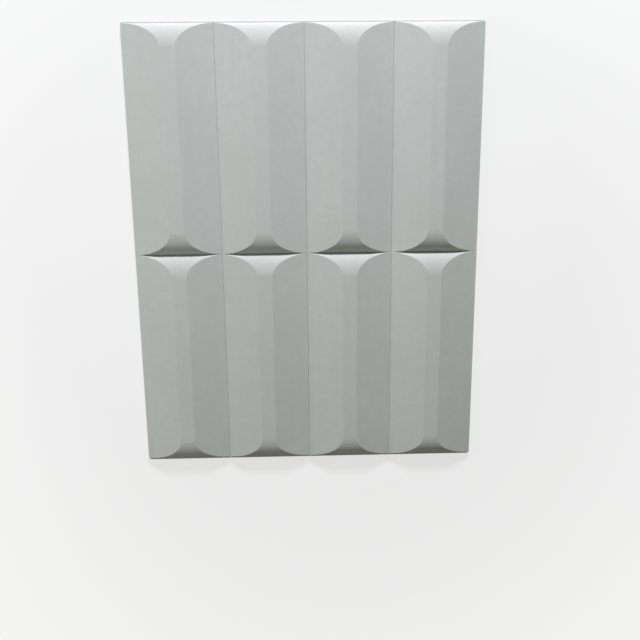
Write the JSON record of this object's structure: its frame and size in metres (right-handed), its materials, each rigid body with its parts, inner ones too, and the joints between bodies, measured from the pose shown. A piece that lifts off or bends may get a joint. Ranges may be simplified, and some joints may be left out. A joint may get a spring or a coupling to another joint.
{
  "type": "faux stone wall panel",
  "caption": "Moulded wall panel with a flat back and a face of raised flat-crested ribs whose ends round down in scallops, glued to a wall as cladding.",
  "frame": {"origin": "middle of the flat back, on the floor that the panel lies on", "axes": "+Z out of the ribbed face, +Y along the ribs towards the edge that is uppermost on the wall, +X across the ribs"},
  "size_m": [0.625, 0.8, 0.025],
  "materials": {
    "moulded_face": "matte, pale grey"
  },
  "bodies": {
    "root": {"wall_panel": "moulded_face"}
  },
  "joints": []
}
